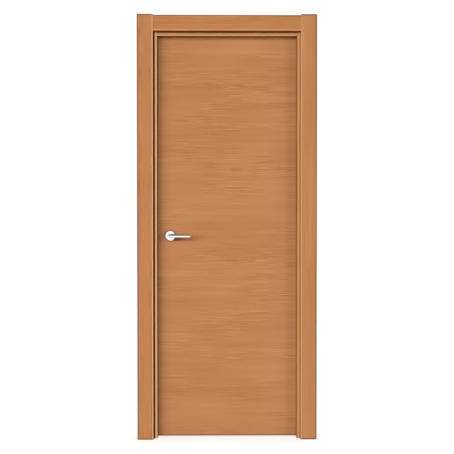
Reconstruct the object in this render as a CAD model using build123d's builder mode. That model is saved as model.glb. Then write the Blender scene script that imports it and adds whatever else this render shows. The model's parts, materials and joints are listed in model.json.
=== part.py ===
"""Flush wooden interior door hung in a rebated frame, with flat casings and a lever handle.

Millimetres. X runs to the right as seen from the stop side, Y runs through the wall towards
the side the leaf opens to, Z is up. The origin is on the outer face of the hinge jamb, at
floor level and at the front edge of the jamb.
"""
import os
from math import hypot

from build123d import *

os.makedirs("parts", exist_ok=True)

# Leaf
leaf_width = 725.0
leaf_height = 2030.0
leaf_thickness = 40.0
skin_thickness = 4.0
stile_width = 34.0
top_rail_height = 34.0
bottom_rail_height = 60.0
leaf_arris = 1.2

# Gaps round the leaf
floor_gap = 5.0
hinge_gap = 5.0
head_gap = 5.0
swing_clearance = 5.0

# Jambs and head: a rebate takes the leaf and leaves a stop with a seal in its back face
jamb_thickness = 40.0
rebate_step = 18.0
seal_stand = 2.0
stop_front_depth = 28.0
jamb_arris = 2.0

# Casings: flat boards round the opening on both sides of the wall
casing_width = 80.0
casing_thickness = 18.0
casing_arris = 4.0
front_reveal = 19.0
casing_step = 4.0

# Seal strip: a stem pressed into a groove, with a soft bulb in front of it
groove_width = 3.0
groove_depth = 6.0
stem_depth = 5.0
bulb_width = 7.0
bulb_gap = 0.3
seal_inset = 6.0

# Lift-off hinges: a plate let into each edge, half a knuckle on each and a fixed pin
hinge_height = 100.0
hinge_plate_width = 28.0
hinge_plate_thickness = 2.5
hinge_corner = 5.0
knuckle_radius = 7.0
knuckle_chamfer = 1.2
knuckle_gap = 0.3
ring_thickness = 1.5
pin_setback = 9.0
pin_radius = 4.0
pin_length = 38.0
pin_clearance = 0.1
hinge_end_distance = 220.0

# Latch: a round case in the leaf behind an edge plate, and a strike plate on the jamb
spindle_backset = 75.0
spindle_height = 1021.0
edge_plate_width = 25.0
edge_plate_height = 60.0
edge_plate_thickness = 3.0
edge_plate_corner = 6.0
case_radius = 12.0
case_end_wall = 8.0
bolt_width = 11.0
bolt_height = 16.0
bolt_length = 26.0
bolt_clearance = 0.3
bolt_proud = 0.5
bolt_bevel = 7.0
strike_thickness = 2.0
strike_lip = 5.0
strike_lip_height = 30.0
strike_hole_margin = 1.5
strike_pocket_depth = 14.0

# Lever handle on a round rose: one round bar, mitred from the neck into the grip
rose_radius = 25.5
rose_thickness = 9.0
rose_chamfer = 1.5
lever_radius = 9.0
lever_projection = 55.0
lever_length = 103.5
lever_tip_chamfer = 3.0
neck_clearance = 0.1
neck_end_gap = 1.0
spindle_side = 8.0
spindle_bore_radius = 10.0
socket_depth = 24.0

# Places that follow from the sizes above
swing_radius = hypot(leaf_width + hinge_gap / 2, leaf_thickness + pin_setback)
latch_gap = swing_clearance + swing_radius - (leaf_width + hinge_gap / 2)

hinge_stop_x = -jamb_thickness
hinge_rebate_x = hinge_stop_x + rebate_step
leaf_hinge_x = hinge_rebate_x - hinge_gap
leaf_latch_x = leaf_hinge_x - leaf_width
latch_rebate_x = leaf_latch_x - latch_gap
latch_stop_x = latch_rebate_x + rebate_step

leaf_front_y = stop_front_depth + seal_stand
frame_depth = leaf_front_y + leaf_thickness
leaf_middle_y = leaf_front_y + leaf_thickness / 2
core_front_y = leaf_front_y + skin_thickness
core_back_y = frame_depth - skin_thickness

leaf_bottom_z = floor_gap
leaf_top_z = leaf_bottom_z + leaf_height
head_rebate_z = leaf_top_z + head_gap
head_stop_z = head_rebate_z - rebate_step
head_top_z = head_stop_z + jamb_thickness

pin_x = (hinge_rebate_x + leaf_hinge_x) / 2
pin_y = frame_depth + pin_setback
back_reveal = knuckle_radius - hinge_gap / 2 + swing_clearance

spindle_x = leaf_latch_x + spindle_backset
case_length = spindle_backset + spindle_bore_radius + case_end_wall


def write(part, name):
    """Label a finished piece and save it under the same name."""
    part.label = name
    export_step(part, f"parts/{name}.step")


def rectangle(x_from, x_to, y_from, y_to, mode=Mode.ADD):
    """A rectangle between two pairs of edges, in the plane's own X and Y."""
    with Locations(((x_from + x_to) / 2, (y_from + y_to) / 2)):
        Rectangle(abs(x_to - x_from), abs(y_to - y_from), mode=mode)


def slab(x_from, x_to, y_from, y_to, z_from, z_to, mode=Mode.ADD):
    """Add or cut an upright block between three pairs of faces."""
    with BuildSketch(Plane.XY.offset(z_from)) as base:
        rectangle(x_from, x_to, y_from, y_to)
    extrude(base.sketch, amount=z_to - z_from, mode=mode)


# Jambs
def jamb(stop_x, outward):
    """A rebated post: an L in plan, with its stop to the front and a groove behind the stop."""
    outer_x = stop_x + outward * jamb_thickness
    rebate_x = stop_x + outward * rebate_step
    with BuildPart() as post:
        with BuildSketch():
            with BuildLine():
                Polyline(
                    (outer_x, 0),
                    (stop_x, 0),
                    (stop_x, stop_front_depth),
                    (rebate_x, stop_front_depth),
                    (rebate_x, frame_depth),
                    (outer_x, frame_depth),
                    close=True,
                )
            make_face()
            corners = [(stop_x, 0), (stop_x, stop_front_depth), (rebate_x, frame_depth)]
            fillet([vertices().sort_by_distance(corner)[0] for corner in corners], jamb_arris)
            groove_middle_x = stop_x + outward * seal_inset
            rectangle(
                groove_middle_x - groove_width / 2,
                groove_middle_x + groove_width / 2,
                stop_front_depth - groove_depth,
                stop_front_depth,
                Mode.SUBTRACT,
            )
        extrude(amount=head_top_z)
    return post.part


# Hinge places up the leaf
hinge_middles = {
    "bottom": leaf_bottom_z + hinge_end_distance,
    "middle": (leaf_bottom_z + leaf_top_z) / 2,
    "top": leaf_top_z - hinge_end_distance,
}


def hinge_recess(edge_x, outward, middle_z, mode):
    """The shallow round-cornered seat of a hinge plate, let into an edge and open at the back."""
    with BuildSketch(Plane.YZ.offset(edge_x)) as seat:
        rectangle(
            frame_depth - hinge_plate_width,
            frame_depth,
            middle_z - hinge_height / 2,
            middle_z + hinge_height / 2,
        )
        fillet(seat.vertices().group_by(Axis.Y)[0], hinge_corner)
    extrude(seat.sketch, amount=outward * hinge_plate_thickness, mode=mode)


with BuildPart() as jamb_hinge:
    add(jamb(hinge_stop_x, 1))
    for middle_z in hinge_middles.values():
        hinge_recess(hinge_rebate_x, 1, middle_z, Mode.SUBTRACT)
write(jamb_hinge.part, "jamb_hinge")


# Strike plate: set in the rebate opposite the latch, with a lip bent over the back arris
bolt_middle_y = leaf_middle_y
strike_back_y = frame_depth
strike_front_y = bolt_middle_y - edge_plate_width / 2


def strike_outline(thickness, start_x, mode):
    """The strike plate's outline on the rebate face, as deep as is asked for."""
    with BuildSketch(Plane.YZ.offset(start_x)) as plate:
        rectangle(
            strike_front_y,
            strike_back_y,
            spindle_height - edge_plate_height / 2,
            spindle_height + edge_plate_height / 2,
        )
        fillet(plate.vertices().group_by(Axis.Y)[0], edge_plate_corner)
    extrude(plate.sketch, amount=-thickness, mode=mode)


def strike_hole(depth, start_x):
    """The latch bolt's hole through the strike plate, or its pocket in the jamb behind."""
    with BuildSketch(Plane.YZ.offset(start_x)) as hole:
        with Locations((bolt_middle_y, spindle_height)):
            Rectangle(bolt_width + 2 * strike_hole_margin, bolt_height + 2 * strike_hole_margin)
    extrude(hole.sketch, amount=-depth, mode=Mode.SUBTRACT)


strike_lip_from_z = spindle_height - strike_lip_height / 2
strike_lip_to_z = spindle_height + strike_lip_height / 2
strike_lip_end_x = latch_rebate_x - jamb_arris - strike_lip

with BuildPart() as jamb_latch:
    add(jamb(latch_stop_x, -1))
    strike_outline(strike_thickness, latch_rebate_x, Mode.SUBTRACT)
    strike_hole(strike_pocket_depth, latch_rebate_x)
    slab(
        strike_lip_end_x,
        latch_rebate_x,
        frame_depth - strike_thickness,
        frame_depth,
        strike_lip_from_z,
        strike_lip_to_z,
        Mode.SUBTRACT,
    )
write(jamb_latch.part, "jamb_latch")

with BuildPart() as strike_plate:
    strike_outline(strike_thickness, latch_rebate_x, Mode.ADD)
    slab(
        latch_rebate_x - strike_thickness,
        latch_rebate_x,
        frame_depth - jamb_arris,
        frame_depth,
        spindle_height - edge_plate_height / 2,
        spindle_height + edge_plate_height / 2,
        Mode.SUBTRACT,
    )
    with BuildSketch(Plane.XY.offset(strike_lip_from_z)):
        with BuildLine():
            bend = RadiusArc(
                (latch_rebate_x, frame_depth - jamb_arris),
                (latch_rebate_x - jamb_arris, frame_depth),
                -jamb_arris,
            )
            Polyline(
                bend @ 1,
                (strike_lip_end_x, frame_depth),
                (strike_lip_end_x, frame_depth - strike_thickness),
                (latch_rebate_x - strike_thickness, frame_depth - strike_thickness),
                (latch_rebate_x - strike_thickness, frame_depth - jamb_arris - strike_thickness),
                (latch_rebate_x, frame_depth - jamb_arris - strike_thickness),
                bend @ 0,
            )
        make_face()
    extrude(amount=strike_lip_height)
    strike_hole(strike_thickness, latch_rebate_x)
write(strike_plate.part, "strike_plate")


# Head jamb: the same rebated section, cut in between the two posts
with BuildPart() as head_jamb:
    slab(latch_stop_x, hinge_stop_x, 0, stop_front_depth, head_stop_z, head_top_z)
    slab(latch_rebate_x, hinge_rebate_x, stop_front_depth, frame_depth, head_rebate_z, head_top_z)
    long_edges = head_jamb.edges().filter_by(Axis.X)
    stop_arrises = long_edges.group_by(Axis.Z)[0]
    rebate_arris = long_edges.group_by(Axis.Y)[-1].sort_by(Axis.Z)[0]
    fillet([*stop_arrises, rebate_arris], jamb_arris)
    slab(
        latch_stop_x,
        hinge_stop_x,
        stop_front_depth - groove_depth,
        stop_front_depth,
        head_stop_z + seal_inset - groove_width / 2,
        head_stop_z + seal_inset + groove_width / 2,
        Mode.SUBTRACT,
    )
write(head_jamb.part, "head_jamb")


# Seals
def seal(section_plane, length):
    """A strip with a stem in the groove and a low domed bulb proud of the stop's back face."""
    stem = groove_width / 2
    bulb = bulb_width / 2
    with BuildPart() as strip:
        with BuildSketch(section_plane):
            with BuildLine():
                Polyline(
                    (bulb, 0),
                    (stem, 0),
                    (stem, -stem_depth),
                    (-stem, -stem_depth),
                    (-stem, 0),
                    (-bulb, 0),
                )
                ThreePointArc((-bulb, 0), (0, seal_stand - bulb_gap), (bulb, 0))
            make_face()
        extrude(amount=length)
    return strip.part


latch_seal_plane = Plane((latch_stop_x - seal_inset, stop_front_depth, 0))
hinge_seal_plane = Plane((hinge_stop_x + seal_inset, stop_front_depth, 0))
head_seal_plane = Plane(
    origin=(latch_stop_x, stop_front_depth, head_stop_z + seal_inset),
    x_dir=(0, 0, -1),
    z_dir=(1, 0, 0),
)
write(seal(latch_seal_plane, head_rebate_z), "seal_latch")
write(seal(hinge_seal_plane, head_rebate_z), "seal_hinge")
write(seal(head_seal_plane, hinge_stop_x - latch_stop_x), "seal_head")


# Casings
def casing(x_from, x_to, y_wall, y_face, z_from, z_to, along):
    """A flat board on the wall, with the two long edges of its face rounded over."""
    with BuildPart() as board:
        slab(x_from, x_to, min(y_wall, y_face), max(y_wall, y_face), z_from, z_to)
        face_side = 0 if y_face < y_wall else -1
        fillet(board.edges().filter_by(along).group_by(Axis.Y)[face_side], casing_arris)
    return board.part


casing_sides = {
    "front": (0, -casing_thickness, front_reveal),
    "back": (frame_depth, frame_depth + casing_thickness, rebate_step + back_reveal),
}
for side, (y_wall, y_face, reveal) in casing_sides.items():
    hinge_x = hinge_stop_x + reveal
    latch_x = latch_stop_x - reveal
    head_from_z = head_stop_z + reveal
    head_to_z = head_from_z + casing_width
    post_to_z = head_to_z + casing_step
    boards = {
        "hinge": casing(hinge_x, hinge_x + casing_width, y_wall, y_face, 0, post_to_z, Axis.Z),
        "latch": casing(latch_x - casing_width, latch_x, y_wall, y_face, 0, post_to_z, Axis.Z),
        "head": casing(latch_x, hinge_x, y_wall, y_face, head_from_z, head_to_z, Axis.X),
    }
    for name, board in boards.items():
        write(board, f"casing_{side}_{name}")


# Leaf
def spindle_hole():
    """The round hole through the leaf behind the roses."""
    with BuildSketch(Plane.XZ.offset(-frame_depth)) as hole:
        with Locations((spindle_x, spindle_height)):
            Circle(spindle_bore_radius)
    extrude(hole.sketch, amount=leaf_thickness, mode=Mode.SUBTRACT)


def case_bore():
    """The round bore from the latch edge that takes the latch case."""
    with BuildSketch(Plane.YZ.offset(leaf_latch_x)) as bore:
        with Locations((leaf_middle_y, spindle_height)):
            Circle(case_radius)
    extrude(bore.sketch, amount=case_length, mode=Mode.SUBTRACT)


def edge_plate_outline(start_x, thickness, mode):
    """The latch edge plate's round-cornered outline on the leaf's latch edge."""
    with BuildSketch(Plane.YZ.offset(start_x)) as plate:
        with Locations((leaf_middle_y, spindle_height)):
            RectangleRounded(edge_plate_width, edge_plate_height, edge_plate_corner)
    extrude(plate.sketch, amount=thickness, mode=mode)


def leaf_skin(y_from, y_to, face_side):
    """One veneered face board of the leaf, its outer upright arrises just eased."""
    with BuildPart() as skin:
        slab(leaf_latch_x, leaf_hinge_x, y_from, y_to, leaf_bottom_z, leaf_top_z)
        fillet(skin.edges().filter_by(Axis.Z).group_by(Axis.Y)[face_side], leaf_arris)
        spindle_hole()
    return skin.part


write(leaf_skin(leaf_front_y, core_front_y, 0), "leaf_face_front")

with BuildPart() as leaf_face_back:
    add(leaf_skin(core_back_y, frame_depth, -1))
    for middle_z in hinge_middles.values():
        hinge_recess(leaf_hinge_x, -1, middle_z, Mode.SUBTRACT)
write(leaf_face_back.part, "leaf_face_back")

with BuildPart() as stile_latch:
    slab(
        leaf_latch_x, leaf_latch_x + stile_width, core_front_y, core_back_y, leaf_bottom_z, leaf_top_z
    )
    edge_plate_outline(leaf_latch_x, edge_plate_thickness, Mode.SUBTRACT)
    case_bore()
write(stile_latch.part, "stile_latch")

with BuildPart() as stile_hinge:
    slab(
        leaf_hinge_x - stile_width, leaf_hinge_x, core_front_y, core_back_y, leaf_bottom_z, leaf_top_z
    )
    for middle_z in hinge_middles.values():
        hinge_recess(leaf_hinge_x, -1, middle_z, Mode.SUBTRACT)
write(stile_hinge.part, "stile_hinge")

inner_from_x = leaf_latch_x + stile_width
inner_to_x = leaf_hinge_x - stile_width
rail_places = {
    "rail_bottom": (leaf_bottom_z, leaf_bottom_z + bottom_rail_height),
    "rail_top": (leaf_top_z - top_rail_height, leaf_top_z),
}
for name, (z_from, z_to) in rail_places.items():
    with BuildPart() as rail:
        slab(inner_from_x, inner_to_x, core_front_y, core_back_y, z_from, z_to)
    write(rail.part, name)

with BuildPart() as leaf_core:
    slab(
        inner_from_x,
        inner_to_x,
        core_front_y,
        core_back_y,
        leaf_bottom_z + bottom_rail_height,
        leaf_top_z - top_rail_height,
    )
    spindle_hole()
    case_bore()
write(leaf_core.part, "leaf_core")


# Hinges
def knuckle_circle(radius, z):
    """A circle round the pin's axis at one height."""
    with BuildSketch(Plane((pin_x, pin_y, z))) as disc:
        Circle(radius)
    return disc.sketch


def hinge_half(edge_x, outward, middle_z, barrel_from, barrel_to, free_end):
    """A hinge plate let into an edge, its neck and its half of the knuckle, eased at the free end."""
    with BuildPart() as half:
        extrude(knuckle_circle(knuckle_radius, barrel_from), amount=barrel_to - barrel_from)
        chamfer(half.edges().filter_by(GeomType.CIRCLE).sort_by(Axis.Z)[free_end], knuckle_chamfer)
        hinge_recess(edge_x, outward, middle_z, Mode.ADD)
        slab(edge_x, edge_x + outward * hinge_plate_thickness, frame_depth, pin_y, barrel_from, barrel_to)
    return half.part


for place, middle_z in hinge_middles.items():
    lower_from_z = middle_z - hinge_height / 2
    lower_to_z = middle_z - ring_thickness / 2
    ring_to_z = lower_to_z + ring_thickness
    upper_from_z = ring_to_z + knuckle_gap
    upper_to_z = middle_z + hinge_height / 2

    with BuildPart() as hinge_frame_half:
        add(hinge_half(hinge_rebate_x, 1, middle_z, lower_from_z, lower_to_z, 0))
        extrude(knuckle_circle(pin_radius, lower_to_z), amount=pin_length)
    write(hinge_frame_half.part, f"hinge_frame_{place}")

    with BuildPart() as hinge_ring:
        extrude(knuckle_circle(knuckle_radius, lower_to_z), amount=ring_thickness)
        bore = knuckle_circle(pin_radius + pin_clearance, lower_to_z)
        extrude(bore, amount=ring_thickness, mode=Mode.SUBTRACT)
    write(hinge_ring.part, f"hinge_ring_{place}")

    with BuildPart() as hinge_leaf_half:
        add(hinge_half(leaf_hinge_x, -1, middle_z, upper_from_z, upper_to_z, -1))
        bore = knuckle_circle(pin_radius + pin_clearance, upper_from_z)
        extrude(bore, amount=pin_length, mode=Mode.SUBTRACT)
    write(hinge_leaf_half.part, f"hinge_leaf_{place}")


# Latch
with BuildPart() as latch_case:
    edge_plate_outline(leaf_latch_x, edge_plate_thickness, Mode.ADD)
    with BuildSketch(Plane.YZ.offset(leaf_latch_x)):
        with Locations((leaf_middle_y, spindle_height)):
            Circle(case_radius)
    extrude(amount=case_length)
    spindle_hole()
    with BuildSketch(Plane.YZ.offset(leaf_latch_x)):
        with Locations((leaf_middle_y, spindle_height)):
            Rectangle(bolt_width + 2 * bolt_clearance, bolt_height + 2 * bolt_clearance)
    extrude(amount=bolt_length, mode=Mode.SUBTRACT)
write(latch_case.part, "latch_case")

# The bolt's nose is bevelled on the side that meets the strike plate first
bolt_nose_x = leaf_latch_x - bolt_proud
bolt_front_y = bolt_middle_y - bolt_width / 2
bolt_back_y = bolt_middle_y + bolt_width / 2

with BuildPart() as latch_bolt:
    with BuildSketch(Plane.XY.offset(spindle_height - bolt_height / 2)):
        with BuildLine():
            Polyline(
                (bolt_nose_x, bolt_back_y),
                (bolt_nose_x, bolt_front_y + bolt_bevel),
                (bolt_nose_x + bolt_bevel, bolt_front_y),
                (leaf_latch_x + bolt_length, bolt_front_y),
                (leaf_latch_x + bolt_length, bolt_back_y),
                close=True,
            )
        make_face()
    extrude(amount=bolt_height)
write(latch_bolt.part, "latch_bolt")


# Roses and levers: made for the front, then mirrored through the middle of the leaf
mirror_plane = Plane.XZ.offset(-leaf_middle_y)


def handle_plane(y):
    """A plane across the spindle's axis, facing the front."""
    return Plane(origin=(spindle_x, y, spindle_height), x_dir=(1, 0, 0), z_dir=(0, -1, 0))


with BuildPart() as rose_front:
    with BuildSketch(handle_plane(leaf_front_y)):
        Circle(rose_radius)
        Circle(lever_radius + neck_clearance, mode=Mode.SUBTRACT)
    extrude(amount=rose_thickness)
    rims = rose_front.edges().filter_by(GeomType.CIRCLE).group_by(Axis.Y)[0]
    chamfer(rims.sort_by(SortBy.RADIUS)[-1], rose_chamfer)
write(rose_front.part, "rose_front")

with BuildPart() as rose_back:
    mirror(rose_front.part, about=mirror_plane)
write(rose_back.part, "rose_back")

neck_start_y = leaf_front_y - neck_end_gap
grip_y = leaf_front_y - lever_projection + lever_radius

with BuildPart() as lever_front:
    with BuildLine() as lever_path:
        Polyline(
            (spindle_x, neck_start_y, spindle_height),
            (spindle_x, grip_y, spindle_height),
            (spindle_x + lever_length, grip_y, spindle_height),
        )
    with BuildSketch(handle_plane(neck_start_y)):
        Circle(lever_radius)
    sweep(path=lever_path.wire(), transition=Transition.RIGHT)
    tip_rim = lever_front.edges().filter_by(GeomType.CIRCLE).sort_by(Axis.X)[-1]
    chamfer(tip_rim, lever_tip_chamfer)
    with BuildSketch(handle_plane(neck_start_y)):
        Rectangle(spindle_side, spindle_side)
    extrude(amount=socket_depth, mode=Mode.SUBTRACT)
write(lever_front.part, "lever_front")

with BuildPart() as lever_back:
    mirror(lever_front.part, about=mirror_plane)
write(lever_back.part, "lever_back")

spindle_from_y = neck_start_y - socket_depth
with BuildPart() as spindle:
    with BuildSketch(handle_plane(spindle_from_y)):
        Rectangle(spindle_side, spindle_side)
    extrude(amount=-2 * (leaf_middle_y - spindle_from_y))
write(spindle.part, "spindle")
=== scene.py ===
"""A flush wooden interior door in its frame, with flat casings and lever handles, in soft studio light."""

import json
from math import radians

import bpy
import numpy as np
from mathutils import Euler, Matrix, Vector


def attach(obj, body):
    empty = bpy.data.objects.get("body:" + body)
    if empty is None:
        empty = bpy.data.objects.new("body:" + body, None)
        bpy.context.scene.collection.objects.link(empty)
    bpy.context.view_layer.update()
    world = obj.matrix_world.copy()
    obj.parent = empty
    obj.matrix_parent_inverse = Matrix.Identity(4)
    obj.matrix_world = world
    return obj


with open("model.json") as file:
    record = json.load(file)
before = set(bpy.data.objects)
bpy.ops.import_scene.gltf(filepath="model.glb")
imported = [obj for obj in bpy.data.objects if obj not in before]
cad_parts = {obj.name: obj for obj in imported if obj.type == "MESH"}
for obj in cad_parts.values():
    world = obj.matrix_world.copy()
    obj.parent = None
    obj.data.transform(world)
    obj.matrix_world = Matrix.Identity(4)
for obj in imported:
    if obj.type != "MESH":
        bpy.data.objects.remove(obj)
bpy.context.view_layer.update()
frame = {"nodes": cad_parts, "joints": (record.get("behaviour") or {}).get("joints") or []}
nodes = frame["nodes"]


# Camera: 1.1 m above the floor, 3.3 m in front of the casings and a little left of the middle,
# which is where the door's edges place it. It is turned back to the middle and tipped slightly
# down. The focal length and the picture's width are both in pixels.
eye = Vector((-0.4142, -3.340, 1.106))
turned_right, tipped_down, rolled = radians(0.406), radians(0.697), radians(-0.017)
focal_length, picture_width = 665.3, 454.0

camera = bpy.data.objects.new("camera", bpy.data.cameras.new("camera"))
bpy.context.scene.collection.objects.link(camera)
camera.data.sensor_width = 36.0
camera.data.lens = camera.data.sensor_width * focal_length / picture_width
heading = Euler((0, 0, -turned_right)).to_matrix()
pitch = Euler((radians(90) - tipped_down, 0, 0)).to_matrix()
roll = Euler((0, 0, rolled)).to_matrix()
camera.matrix_world = Matrix.Translation(eye) @ (heading @ pitch @ roll).to_4x4()
bpy.context.scene.camera = camera


# Casings: flat boards of veneered wood, grain along each board, pinned to the wall and the
# jambs. The uprights run past the head board. Satin varnish, with a paler painted highlight on
# the rounded arrises and painted shade along the other edges.
class Wire:
    """One output of a node. Sums, differences and products of it add Math nodes."""

    def __init__(self, nodes, socket):
        self.nodes = nodes
        self.socket = socket

    def maths(self, operation, first, second=0.0):
        return self.nodes.node("ShaderNodeMath", {"operation": operation}, {0: first, 1: second})

    def largest(self, other):
        return self.maths("MAXIMUM", self, other)

    def size(self):
        return self.maths("ABSOLUTE", self)

    def __add__(self, other):
        return self.maths("ADD", self, other)

    def __sub__(self, other):
        return self.maths("SUBTRACT", self, other)

    def __rsub__(self, other):
        return self.maths("SUBTRACT", other, self)

    def __mul__(self, other):
        return self.maths("MULTIPLY", self, other)

    __radd__ = __add__
    __rmul__ = __mul__


class Shading:
    """A node tree, emptied and built up node by node."""

    def __init__(self, tree):
        self.tree = tree
        self.tree.nodes.clear()

    def node(self, kind, settings=None, inputs=None, output=0):
        """Add a node: first its settings, then a value or a wire for each named or numbered input."""
        node = self.tree.nodes.new(kind)
        for key, value in (settings or {}).items():
            setattr(node, key, value)
        for key, value in (inputs or {}).items():
            if isinstance(value, Wire):
                self.tree.links.new(value.socket, node.inputs[key])
            else:
                node.inputs[key].default_value = value
        return Wire(self, node.outputs[output] if node.outputs else None)

    def split(self, vector):
        """The three parts of a vector."""
        parts = self.node("ShaderNodeSeparateXYZ", {}, {0: vector}).socket.node
        return [Wire(self, part) for part in parts.outputs]

    def mix(self, factor, first, second):
        """Mix two colours: the first at factor 0, the second at factor 1."""
        return self.node("ShaderNodeMix", {"data_type": "RGBA"}, {0: factor, 6: first, 7: second}, 2)

    def noise(self, place, stretch, detail=2.0, shift=(0.0, 0.0, 0.0)):
        """Noise from 0 to 1 whose grains per metre along X, Y and Z are given by stretch."""
        mapping = {"Vector": place, "Scale": stretch, "Location": shift}
        moved = self.node("ShaderNodeMapping", {}, mapping)
        return self.node("ShaderNodeTexNoise", {}, {"Vector": moved, "Scale": 1.0, "Detail": detail})

    def ease(self, value, low, high):
        """A smooth step: 0 below low, 1 above high."""
        inputs = {"Value": value, "From Min": low, "From Max": high}
        return self.node("ShaderNodeMapRange", {"interpolation_type": "SMOOTHSTEP"}, inputs)

    def band(self, value, low, high, edge):
        """1 between low and high, easing to 0 over the width of an edge outside them."""
        return self.ease(value, low - edge, low) * (1.0 - self.ease(value, high, high + edge))


class Finish(Shading):
    """A material that ends in one Principled shader."""

    def __init__(self, name):
        self.material = bpy.data.materials.new(name)
        self.material.use_nodes = True
        super().__init__(self.material.node_tree)
        self.place = self.node("ShaderNodeTexCoord", output="Object")

    def bump(self, height, strength, distance):
        inputs = {"Strength": strength, "Distance": distance, "Height": height}
        return self.node("ShaderNodeBump", {}, inputs)

    def surface(self, **inputs):
        """End in a Principled shader; underscores in the names stand for spaces."""
        named = {key.replace("_", " "): value for key, value in inputs.items()}
        return self.end(self.node("ShaderNodeBsdfPrincipled", {}, named))

    def end(self, shader):
        self.node("ShaderNodeOutputMaterial", {}, {"Surface": shader})
        return self.material


def linear(red, green, blue):
    """A colour written as it looks on a screen, 0 to 255, turned into linear light."""
    screen = np.array((red, green, blue)) / 255
    light = np.where(screen <= 0.04045, screen / 12.92, ((screen + 0.055) / 1.055) ** 2.4)
    return (*light.tolist(), 1.0)


def shade(colour, tint):
    """A colour moved towards a tint, written as steps of red, green and blue."""
    return tuple(part + step for part, step in zip(colour, tint))


def dress(material, *names):
    """Give CAD nodes a finish in place of the plain one that they were packed with."""
    for name in names:
        nodes[name].data.materials.clear()
        nodes[name].data.materials.append(material)


def extent(name, axis):
    """The lowest and the highest place of a CAD node along an axis, in metres."""
    places = [corner["XYZ".index(axis)] for corner in nodes[name].bound_box]
    return min(places), max(places)


along_z = np.array((1.0, 1.0, 0.05))
along_x = np.array((0.05, 1.0, 1.0))
wood_tones = ((203, 143, 101), (178, 116, 73))
wood_tints = ((0, 0, 0), (2, -2, 0))
fibre_tones = ((178, 140, 98), (150, 112, 72))
# The two pale colours paint light: highlights on arrises and lit bands. The dark brown paints shade and
# shadows.
painted_light_wood, bright_painted_light_wood, painted_shade_wood = (222, 165, 121), (247, 194, 147), (98, 40, 0)
reddish_wood = (198, 123, 84)


class Veneer(Finish):
    """Wood veneer with its grain drawn out along one axis, shifted for each board so that no two
    boards match. The cut axes are those whose faces are sawn and show the board's core."""

    def __init__(self, name, grain, shift, cut):
        super().__init__(name)
        self.grain = grain
        self.cut = cut
        self.shift = np.array((1.0, 2.0, 3.0)) * shift
        self.x, self.y, self.z = self.split(self.place)

    def figure(self, per_metre, detail=2.0, offset=0.0, length=1.0):
        """Noise with so many grains per metre across the wood's grain, each twenty times as long
        as it is wide, or that times the length given. An offset picks another part of the noise."""
        stretch = per_metre * np.where(self.grain < 1.0, self.grain / length, 1.0)
        place = tuple(self.shift + offset * self.grain)
        return self.noise(self.place, tuple(stretch), detail, place)

    def cloud(self, per_metre, offset):
        """Soft patches, so many per metre across the grain and three times as long as wide."""
        stretch = per_metre * (self.grain + 0.35)
        return self.noise(self.place, tuple(stretch), 1.0, tuple(self.shift + offset))

    def tone(self, streak, stripe):
        """Dark and pale: short dark dashes, each with a pale one beside it, finer streaks and long
        drawn lines, close together in some patches and faint in others. Soft bands and clouds lie
        under them, and pores all over."""
        dark, pale = (
            self.ease(self.figure(230.0, detail=0.5, offset=beside, length=1.6), 0.59, 0.68)
            for beside in (0.0, 1.0)
        )
        fine = self.figure(330.0, length=0.6)
        drawn = self.figure(260.0, detail=0.5, offset=5.0, length=6.0)
        pores = self.figure(1500.0, detail=1.0)
        gathered = 0.22 + self.ease(self.cloud(6.0, 0.0), 0.40, 0.60) * 1.2
        lines = (pale - dark) * 1.3 + (fine - 0.5) * 1.7 + (drawn - 0.5) * 1.4
        bands = (self.figure(26.0, detail=1.0) - 0.5) * 1.2 + (self.cloud(9.0, 3.0) - 0.5) * 1.1
        tone = 0.5 + lines * gathered * streak + bands * stripe + (pores - 0.5) * 0.25
        return tone, fine, pores

    def core(self):
        """1 on the faces that are sawn and not veneered, those that face along the cut axes."""
        facing = dict(zip("XYZ", self.split(self.node("ShaderNodeTexCoord", output="Normal"))))
        first, last = facing[self.cut[0]].size(), facing[self.cut[-1]].size()
        return self.ease(first.largest(last), 0.9, 0.97)

    def finish(self, tones, streak, stripe, marks):
        """Mix the tones, tan in places and pinker in others, lay the marks on (factor and colour
        each), and varnish. Sawn faces show the fine flecked fibreboard under the veneer."""
        tone, fine, pores = self.tone(streak, stripe)
        hue = self.ease(self.cloud(2.5, 7.0), 0.45, 0.75)
        pale, dark = tones
        tan, pink = (
            self.mix(tone, linear(*shade(dark, tint)), linear(*shade(pale, tint)))
            for tint in wood_tints
        )
        colour = self.mix(hue, tan, pink)
        for factor, mark in marks:
            colour = self.mix(factor, colour, linear(*mark))
        flecks = self.noise(self.place, (1200.0, 1200.0, 1200.0))
        pale_fibre, dark_fibre = fibre_tones
        fibre = self.mix(self.ease(flecks, 0.3, 0.7), linear(*dark_fibre), linear(*pale_fibre))
        sawn = self.core()
        colour = self.mix(sawn, colour, fibre)
        grain = (fine - 0.5) * 0.5 + (pores - 0.5) * 0.5
        bump = self.bump(grain, strength=0.25, distance=0.0004)
        rough = 0.48 + (fine - 0.5) * 0.25 + sawn * 0.3
        return self.surface(Base_Color=colour, Roughness=rough, Normal=bump, Specular_IOR_Level=0.25)


latch_arris = extent("casing_front_latch", "X")[1]
hinge_arris, hinge_wall = extent("casing_front_hinge", "X")
middle_x, half_opening = (latch_arris + hinge_arris) / 2, (hinge_arris - latch_arris) / 2
casing_width = hinge_wall - hinge_arris
casing_top = extent("casing_front_hinge", "Z")[1]
head_edge = extent("casing_front_head", "Z")[0]
back_out = extent("casing_back_head", "Z")[0] - head_edge


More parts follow.
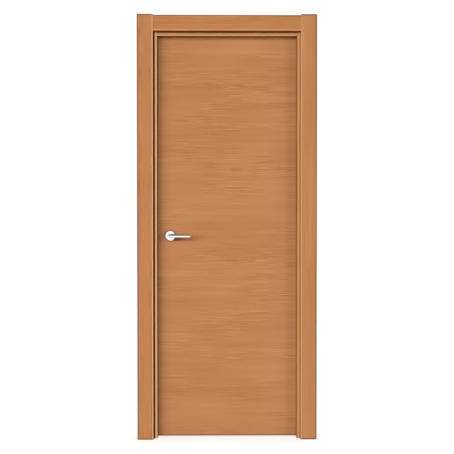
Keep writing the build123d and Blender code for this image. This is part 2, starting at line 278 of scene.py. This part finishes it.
def casing_upright(name, shift, streak, vein, painted_light, side_shade, out=0.0):
    """Upright casing: a paler colour on the arris towards the opening as a painted highlight, and
    painted shade along the wall, at the top, at the foot and on the narrow face that meets the jamb.
    The vein is a broad stripe in the veneer: its colour, and where it starts and ends from that
    narrow face. Boards set farther out and up, as on the other side of the wall, are given how far."""
    board = Veneer(name, along_z, shift, "Z")
    across = (board.x - middle_x).size() - (half_opening + out)
    arris = 1.0 - board.ease(across, 0.0037, 0.0052)
    narrow_face = 1.0 - board.ease(across, 0.0002, 0.0010)
    by_wall = board.ease(across, casing_width - 0.0093, casing_width - 0.0048) * 0.6
    top = board.ease(board.z - out, casing_top - 0.0060, casing_top - 0.0045)
    foot = 1.0 - board.ease(board.z, 0.004, 0.007)
    hue, start, end = vein
    # After the vein: a painted highlight on the arris, then painted shade along the wall, top and foot and
    # on the narrow face.
    marks = [
        (board.band(across, start, end, 0.005) * 0.6, hue),
        (arris, painted_light),
        (by_wall.largest((top + foot) * 0.8), painted_shade_wood),
        (narrow_face * side_shade, painted_shade_wood),
    ]
    return board.finish(wood_tones, streak, stripe=0.55, marks=marks)


def casing_head(name, shift, out=0.0):
    """Head casing: the same, with its grain across, a redder stripe along its lower part, a painted
    highlight just above its lower edge, and painted shade along its top and on its underside. Its
    tones are a little warmer than the uprights'."""
    board = Veneer(name, along_x, shift, "X")
    rise = board.z - (head_edge + out)
    narrow_face = 1.0 - board.ease(rise, 0.0007, 0.0017)
    top = board.ease(rise, casing_width - 0.0065, casing_width - 0.0045)
    # After the redder stripe: a painted highlight above the lower edge, then painted shade along the top
    # and on the underside.
    marks = [
        (board.band(rise, 0.015, 0.019, 0.008) * 0.5, reddish_wood),
        (board.band(rise, 0.005, 0.008, 0.0013) * 0.75, painted_light_wood),
        (top * 0.9, painted_shade_wood),
        (narrow_face * 0.75, painted_shade_wood),
    ]
    warmer = [shade(tone, (2, 0, -1)) for tone in wood_tones]
    return board.finish(warmer, streak=0.22, stripe=0.7, marks=marks)


hinge_vein, latch_vein = ((182, 130, 81), 0.0567, 0.0647), ((198, 128, 87), 0.0227, 0.0467)
front_hinge = casing_upright(
    "casing_hinge_veneer", shift=0.37, streak=0.11, vein=hinge_vein, painted_light=painted_light_wood, side_shade=0.5
)
front_latch = casing_upright(
    "casing_latch_veneer", shift=1.13, streak=0.32, vein=latch_vein, painted_light=bright_painted_light_wood, side_shade=0.99
)
back_hinge = casing_upright(
    "casing_back_hinge_veneer", shift=6.7, streak=0.25,
    vein=hinge_vein, painted_light=painted_light_wood, side_shade=0.5, out=back_out,
)
back_latch = casing_upright(
    "casing_back_latch_veneer", shift=7.9, streak=0.25,
    vein=latch_vein, painted_light=painted_light_wood, side_shade=0.5, out=back_out,
)
dress(front_hinge, "casing_front_hinge")
dress(front_latch, "casing_front_latch")
dress(back_hinge, "casing_back_hinge")
dress(back_latch, "casing_back_latch")
dress(casing_head("casing_head_veneer", shift=1.9), "casing_front_head")
dress(casing_head("casing_back_head_veneer", shift=8.3, out=back_out), "casing_back_head")


# Jambs and head jamb: the lining of the opening, of the same veneered wood, rebated for the leaf.
# The posts run to the top and the head is cut in between them. A painted shadow of the casing lies
# in the corner where the casing is pinned on, painted shade on the stops' sides, and a paler band
# of painted light along the front edge.
half_stop = (extent("jamb_hinge", "X")[0] - extent("jamb_latch", "X")[1]) / 2
edge_width = half_opening - half_stop


def lining(name, grain, shift, cut, painted_light, casing_shadow, under, from_corner):
    """Lining board; from_corner gives a point's distance from the casing's edge. The next arguments
    give the colour and reach of a pale band of painted light on the front, the strength and reach
    of the painted shadow of the casing in the corner, and the strength of painted shade on the
    stop's side."""
    board = Veneer(name, grain, shift, cut)
    distance = from_corner(board)
    front = 1.0 - board.ease(board.y, 0.001, 0.003)
    colour, start, end = painted_light
    strength, reach = casing_shadow
    corner = 1.0 - board.ease(distance, reach - 0.001, reach + 0.001)
    stop_side = board.ease(distance, edge_width - 0.0006, edge_width - 0.0002) * (1.0 - front)
    # The band is painted light, the corner mark a painted shadow of the casing, and the stop's side
    # painted shade.
    marks = [
        (board.band(distance, start, end, 0.0015) * front, colour),
        (corner * front * strength, painted_shade_wood),
        (stop_side * under, painted_shade_wood),
    ]
    return board.finish(wood_tones, streak=0.3, stripe=0.8, marks=marks)


def beside_upright(board):
    return half_opening - (board.x - middle_x).size()


def beside_head(board):
    return head_edge - board.z


# Bands of painted light on the front edges of the posts and the head: colour, start and end.
hinge_light_band, latch_light_band = (painted_light_wood, 0.0085, 0.013), (bright_painted_light_wood, 0.0078, 0.0165)
head_light_band = ((228, 178, 130), 0.0157, 0.03)
hinge_post = lining(
    "jamb_hinge_veneer", along_z, shift=2.3, cut="Z",
    painted_light=hinge_light_band, casing_shadow=(0.15, 0.004), under=0.9, from_corner=beside_upright,
)
latch_post = lining(
    "jamb_latch_veneer", along_z, shift=2.9, cut="Z",
    painted_light=latch_light_band, casing_shadow=(0.99, 0.008), under=0.97, from_corner=beside_upright,
)
head_board = lining(
    "head_jamb_veneer", along_x, shift=3.1, cut="X",
    painted_light=head_light_band, casing_shadow=(0.6, 0.005), under=0.45, from_corner=beside_head,
)
dress(hinge_post, "jamb_hinge")
dress(latch_post, "jamb_latch")
dress(head_board, "head_jamb")


# Seals: soft brown rubber strips pressed into a groove in the back of the stops.
# The rubber is dull, and paler with dust in places.
rubber_brown, dusty_brown = (66, 42, 24), (104, 78, 54)
seal = Finish("seal_rubber")
dust = seal.noise(seal.place, (60.0, 60.0, 25.0), 3.0)
grit = seal.noise(seal.place, (900.0, 900.0, 900.0), 1.0)
dusty = seal.ease(dust, 0.4, 0.75) * 0.5
seal_rubber = seal.surface(
    Base_Color=seal.mix(dusty, linear(*rubber_brown), linear(*dusty_brown)),
    Roughness=0.62 + dust * 0.2,
    Normal=seal.bump(grit, strength=0.2, distance=0.0002),
    Specular_IOR_Level=0.3,
)
dress(seal_rubber, "seal_hinge", "seal_latch", "seal_head")


# Leaf: two veneered face boards with the grain across the leaf, glued over a frame of stiles and
# rails and a particle-board core. Painted shade darkens the face along the stops and at the foot,
# painted shadows lie round the rose and under the lever, and painted light lifts the face below
# the head stop.
handle_turn = next(joint for joint in frame["joints"] if joint["name"] == "lever_turn")
rose_x, leaf_middle, rose_z = handle_turn["pos_m"]
rose_radius = extent("rose_front", "X")[1] - rose_x
leaf_foot = extent("leaf_face_front", "Z")[0]
head_stop = extent("head_jamb", "Z")[0]

leaf_veneer = Veneer("leaf_veneer", along_x, shift=0.0, cut="XZ")
from_stop = half_stop - (leaf_veneer.x - middle_x).size()
latch_side = 1.0 - leaf_veneer.ease(leaf_veneer.x, middle_x - 0.1, middle_x + 0.1)
# Painted shade on the face along the stops, deeper beside the latch-side stop.
stop_shade_line = (1.0 - leaf_veneer.ease(from_stop, 0.0005, 0.004)) * 0.32
latch_stop_shade = (1.0 - leaf_veneer.ease(from_stop, 0.003, 0.0085)) * latch_side * 0.22
front_face = 1.0 - leaf_veneer.ease(leaf_veneer.y, leaf_middle - 0.01, leaf_middle)
# Painted shade along the foot of the leaf, and painted light on the face just below the head stop, where
# its shadow falls.
foot = 1.0 - leaf_veneer.ease(leaf_veneer.z, leaf_foot + 0.004, leaf_foot + 0.0085)
below_head = leaf_veneer.ease(leaf_veneer.z, head_stop - 0.0060, head_stop - 0.0045)

# A painted shadow in a ring round the rose, and a painted shadow of the lever below its bar.
beside, above = leaf_veneer.x - rose_x, leaf_veneer.z - rose_z
rim, rim_end = rose_radius + 0.0015, rose_radius + 0.0055
rose_shadow = 1.0 - leaf_veneer.ease(beside * beside + above * above, rim**2, rim_end**2)
bar_shadow = leaf_veneer.band(above, -0.024, -0.012, 0.006)
along_bar = leaf_veneer.ease(beside, 0.0, 0.02) * (1.0 - leaf_veneer.ease(beside, 0.030, 0.085))
leaf_marks = [
    ((stop_shade_line + latch_stop_shade) * front_face, painted_shade_wood),
    (foot * 0.5, painted_shade_wood),
    (below_head * front_face * 0.7, painted_light_wood),
    (rose_shadow * 0.55, painted_shade_wood),
    (bar_shadow * along_bar * 0.7, painted_shade_wood),
]
face_wood = leaf_veneer.finish(wood_tones, streak=0.32, stripe=0.52, marks=leaf_marks)
dress(face_wood, "leaf_face_front", "leaf_face_back")

stile_band = Veneer("leaf_edge_band", along_z, shift=4.4, cut="Z")
rail_band = Veneer("leaf_rail_band", along_x, shift=5.3, cut="X")
stile_wood = stile_band.finish(wood_tones, streak=0.5, stripe=0.5, marks=[])
rail_wood = rail_band.finish(wood_tones, streak=0.5, stripe=0.5, marks=[])
dress(stile_wood, "stile_hinge", "stile_latch")
dress(rail_wood, "rail_top", "rail_bottom")

dark_chip, pale_chip = (150, 112, 70), (206, 172, 124)
core = Finish("core_particle_board")
chips = core.node("ShaderNodeTexVoronoi", {}, {"Vector": core.place, "Scale": 260.0}, "Color")
chip_tone = core.node("ShaderNodeSeparateColor", {}, {0: chips})
particle_board = core.surface(
    Base_Color=core.mix(chip_tone, linear(*dark_chip), linear(*pale_chip)),
    Roughness=0.85 - chip_tone * 0.1,
    Normal=core.bump(chip_tone, strength=0.5, distance=0.0006),
)
dress(particle_board, "leaf_core")


# Hinges: lift-off hinges of satin plated steel, half a knuckle on the frame and half on the
# leaf, with a turned brass ring between the two. Their plates are let into the wood.
def brushed(name, grain, colour, dull, roughness):
    """Metal with fine brushing: noise with so many grains per metre along X, Y and Z, drawn out
    along the brushing, sets its roughness and a fine bump; slower noise dulls it in patches."""
    finish = Finish(name)
    brush = finish.noise(finish.place, grain, 3.0)
    patches = finish.ease(finish.noise(finish.place, (40.0, 40.0, 40.0), 3.0), 0.45, 0.75)
    return finish.surface(
        Base_Color=finish.mix(patches * 0.6 + (brush - 0.5) * 0.3, linear(*colour), linear(*dull)),
        Metallic=1.0,
        Roughness=roughness + patches * 0.12 + (brush - 0.5) * 0.2,
        Normal=finish.bump(brush, strength=0.15, distance=0.0001),
    )


bright_steel, dull_steel = (206, 205, 202), (168, 166, 162)
bright_brass, dull_brass = (214, 176, 102), (166, 132, 74)
satin_steel = brushed(
    "hinge_satin_steel", (2500.0, 2500.0, 60.0), bright_steel, dull_steel, roughness=0.3
)
ring_brass = brushed(
    "hinge_ring_brass", (600.0, 600.0, 4000.0), bright_brass, dull_brass, roughness=0.25
)
hinge_places = ("bottom", "middle", "top")
for place in hinge_places:
    dress(satin_steel, f"hinge_frame_{place}", f"hinge_leaf_{place}")
    dress(ring_brass, f"hinge_ring_{place}")


# Hinge screws: countersunk heads with a cross recess, of the hinges' satin steel, sunk nearly
# flush. Four hold each plate in the rebate of the jamb, and four each in the edge of the leaf.
def cross_recess(across, up):
    """Depth from 0 to 1 of a cross: full along both middle lines, out to half the head's radius."""
    arm = np.minimum(abs(across), abs(up))
    reach = np.maximum(abs(across), abs(up))
    return np.clip((0.16 - arm) / 0.06, 0, 1) * np.clip((0.6 - reach) / 0.08, 0, 1)


def heads(name, body, material, seats, out, side, radius, recess, proud=0.0003):
    """Round heads set into a face. Over a disc of rings and spokes the height is a low dome, a
    constant less the fourth power of the radius, less the recess; the rim dips into the face."""
    rings, spokes = 14, 56
    r = np.linspace(0, 1, rings + 1)[1:, None]
    angle = np.arange(spokes)[None, :] * 2 * np.pi / spokes
    across = np.append(0.0, (r * np.cos(angle)).ravel())
    up = np.append(0.0, (r * np.sin(angle)).ravel())
    height = proud * (1 - 1.2 * np.hypot(across, up) ** 4 - 0.85 * recess(across, up))
    out, side = np.array(out, float), np.array(side, float)
    upward = np.cross(out, side)
    disc = radius * (across[:, None] * side + up[:, None] * upward) + height[:, None] * out
    points = (np.array(seats)[:, None, :] + disc[None]).reshape(-1, 3)

    ring, spoke = np.meshgrid(np.arange(rings - 1), np.arange(spokes), indexing="ij")
    here = (1 + ring * spokes + spoke).ravel()
    beside = (1 + ring * spokes + (spoke + 1) % spokes).ravel()
    quads = np.stack((here, here + spokes, beside + spokes, beside), axis=1)
    first = np.arange(spokes)
    fan = np.stack((np.zeros(spokes, int), 1 + first, 1 + (first + 1) % spokes), axis=1)
    steps = np.arange(len(seats))[:, None, None] * len(disc)
    faces = (quads[None] + steps).reshape(-1, 4).tolist() + (fan[None] + steps).reshape(-1, 3).tolist()

    mesh = bpy.data.meshes.new(name)
    mesh.from_pydata(points.tolist(), [], faces)
    mesh.polygons.foreach_set("use_smooth", np.ones(len(faces), bool))
    mesh.materials.append(material)
    piece = bpy.data.objects.new(name, mesh)
    bpy.context.scene.collection.objects.link(piece)
    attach(piece, body)
    return piece


hinge_screw_radius = 0.004
screw_steps = ((0.050, -0.038), (0.061, -0.014), (0.061, 0.014), (0.050, 0.038))
hinge_heights = [sum(extent(f"hinge_frame_{place}", "Z")) / 2 for place in hinge_places]
hinge_seats = [(depth, level + step) for level in hinge_heights for depth, step in screw_steps]
rebate_x = extent("head_jamb", "X")[1]
leaf_latch_x, leaf_hinge_x = extent("leaf_face_front", "X")
frame_seats = [(rebate_x, depth, level) for depth, level in hinge_seats]
leaf_seats = [(leaf_hinge_x, depth, level) for depth, level in hinge_seats]
turned, other_way = (0, 0.8, 0.6), (0, 0.6, 0.8)
frame_screws = heads(
    "hinge_frame_screws", "frame", satin_steel,
    frame_seats, (-1, 0, 0), turned, radius=hinge_screw_radius, recess=cross_recess,
)
leaf_screws = heads(
    "hinge_leaf_screws", "leaf", satin_steel,
    leaf_seats, (1, 0, 0), other_way, radius=hinge_screw_radius, recess=cross_recess,
)


# Latch: a tubular case bored into the edge of the leaf behind its edge plate, a bevelled bolt,
# and a strike plate let into the jamb, all of plain plated steel. Two screws hold each plate.
bright_plate, dull_plate = (200, 199, 194), (158, 156, 150)
plated_steel = brushed(
    "latch_plated_steel", (90.0, 2600.0, 90.0), bright_plate, dull_plate, roughness=0.34
)
dress(plated_steel, "latch_case", "latch_bolt", "strike_plate", "spindle")

latch_screw_radius, latch_screw_step = 0.0035, 0.0225
latch_levels = (rose_z - latch_screw_step, rose_z + latch_screw_step)
strike_x = extent("strike_plate", "X")[1]
edge_plate_seats = [(leaf_latch_x, leaf_middle, level) for level in latch_levels]
strike_seats = [(strike_x, leaf_middle, level) for level in latch_levels]
latch_screws = heads(
    "latch_screws", "leaf", plated_steel,
    edge_plate_seats, (-1, 0, 0), (0, 1, 0), radius=latch_screw_radius, recess=cross_recess,
)
strike_screws = heads(
    "strike_screws", "frame", plated_steel,
    strike_seats, (1, 0, 0), turned, radius=latch_screw_radius, recess=cross_recess,
)


# Handles: a round bar mitred from the neck into the grip, on a round rose, on each side of the
# leaf. Bright polished plating with faint hand marks.
clean_plating, handled_plating = (248, 249, 251), (232, 234, 236)
polish = Finish("handle_polished_plating")
hand_marks = polish.ease(polish.noise(polish.place, (70.0, 70.0, 70.0), 4.0), 0.5, 0.8)
hairlines = polish.noise(polish.place, (300.0, 4000.0, 4000.0))
bright_plating = polish.surface(
    Base_Color=polish.mix(hand_marks * 0.5, linear(*clean_plating), linear(*handled_plating)),
    Metallic=1.0,
    Roughness=0.06 + hand_marks * 0.08,
    Normal=polish.bump(hairlines, strength=0.03, distance=0.0001),
)
dress(bright_plating, "lever_front", "lever_back", "rose_front", "rose_back")


# Grub screws: one of plated steel with a six-sided socket, under each neck. It holds the lever on
# its spindle.
def socket_recess(across, up):
    """Depth from 0 to 1 of a six-sided socket: full where the largest of its three widths is small."""
    turns = np.radians((0, 60, 120))[:, None]
    width = abs(across * np.cos(turns) + up * np.sin(turns)).max(axis=0)
    return np.clip((0.62 - width) / 0.08, 0, 1)


grub_radius, grub_depth = 0.0022, 0.042
neck_under = extent("lever_front", "Z")[0]
grub_seats = [(rose_x, leaf_middle + depth, neck_under) for depth in (-grub_depth, grub_depth)]
grub_screws = heads(
    "lever_grub_screws", "handle", plated_steel,
    grub_seats, (0, 0, -1), (1, 0, 0), radius=grub_radius, recess=socket_recess,
)


# Floor: a plain pale studio floor that keeps the door's soft shadow. It lets the wide lamps
# through, so that the foot of the door is lit as evenly as its head.
floor_size = 30.0
floor_mesh = bpy.data.meshes.new("floor")
floor_corners = np.array(((-1, -1, 0), (1, -1, 0), (1, 1, 0), (-1, 1, 0))) * floor_size / 2
floor_mesh.from_pydata(floor_corners.tolist(), [], [(0, 1, 2, 3)])
floor = bpy.data.objects.new("floor", floor_mesh)
bpy.context.scene.collection.objects.link(floor)
floor.visible_shadow = False

plain_white = (1, 1, 1, 1)
ground = Finish("floor_paint")
clouds = ground.noise(ground.place, (3.0, 3.0, 3.0), 3.0)
floor_grey = ground.mix(clouds, (0.19, 0.195, 0.13, 1), (0.21, 0.215, 0.15, 1))
floor_white = ground.mix(clouds, (0.29, 0.29, 0.29, 1), (0.31, 0.31, 0.31, 1))
lighting = ground.node("ShaderNodeBsdfDiffuse", {}, {"Color": floor_grey})
matt = ground.node("ShaderNodeBsdfDiffuse", {}, {"Color": floor_white})
glow = ground.node("ShaderNodeEmission", {}, {"Color": plain_white, "Strength": 0.73})
shown = ground.node("ShaderNodeAddShader", {}, {0: matt, 1: glow})
by_camera = ground.node("ShaderNodeLightPath", output="Is Camera Ray")
by_metal = ground.node("ShaderNodeLightPath", output="Is Glossy Ray")
seen = by_camera.largest(by_metal)
floor_shader = ground.node("ShaderNodeMixShader", {}, {0: seen, 1: lighting, 2: shown})
floor_mesh.materials.append(ground.end(floor_shader))


# Light: soft distant lamps, three of them on the left and in front, one wide one on the right, one
# for the back and one overhead. The surroundings are white to the camera and through clear things,
# and polished metal sees them with a darker ceiling. They light the door only faintly.
def lamp(name, azimuth, elevation, strength, spread):
    """A distant soft lamp. Azimuth 0 is straight in front, positive towards the door's right."""
    light = bpy.data.objects.new(name, bpy.data.lights.new(name, "SUN"))
    light.data.energy = strength
    light.data.angle = radians(spread)
    light.rotation_euler = Euler((radians(90 - elevation), 0, radians(azimuth)))
    light.visible_glossy = False
    bpy.context.scene.collection.objects.link(light)


lamp("key_far_left", azimuth=-53, elevation=6, strength=1.31, spread=26)
lamp("key_near_left", azimuth=-34, elevation=16, strength=0.66, spread=18)
lamp("key_front", azimuth=-6, elevation=21, strength=0.76, spread=10)
lamp("fill_right", azimuth=59, elevation=6, strength=1.20, spread=26)
lamp("back_fill", azimuth=150, elevation=22, strength=1.7, spread=40)
lamp("overhead", azimuth=0, elevation=90, strength=2.0, spread=8)

world = bpy.data.worlds.new("studio")
bpy.context.scene.world = world
world.use_nodes = True
sky = Shading(world.node_tree)
ceiling_grey, faint_fill = (0.12, 0.13, 0.08, 1), (0.85, 1.15, 0.3, 1)
above_horizon = sky.split(sky.node("ShaderNodeTexCoord", output="Generated"))[2]
ceiling = sky.mix(sky.ease(above_horizon, 0.08, 0.28), plain_white, ceiling_grey)
white = sky.node("ShaderNodeBackground", {}, {"Color": plain_white})
mirrored = sky.node("ShaderNodeBackground", {}, {"Color": ceiling})
surroundings = sky.node("ShaderNodeBackground", {}, {"Color": faint_fill, "Strength": 0.1})
rays = {"Is Glossy Ray": mirrored, "Is Transmission Ray": white, "Is Camera Ray": white}
for ray, look in rays.items():
    of_this_kind = sky.node("ShaderNodeLightPath", output=ray)
    surroundings = sky.node("ShaderNodeMixShader", {}, {0: of_this_kind, 1: surroundings, 2: look})
sky.node("ShaderNodeOutputWorld", {}, {"Surface": surroundings})
bpy.context.scene.view_settings.view_transform = "Standard"
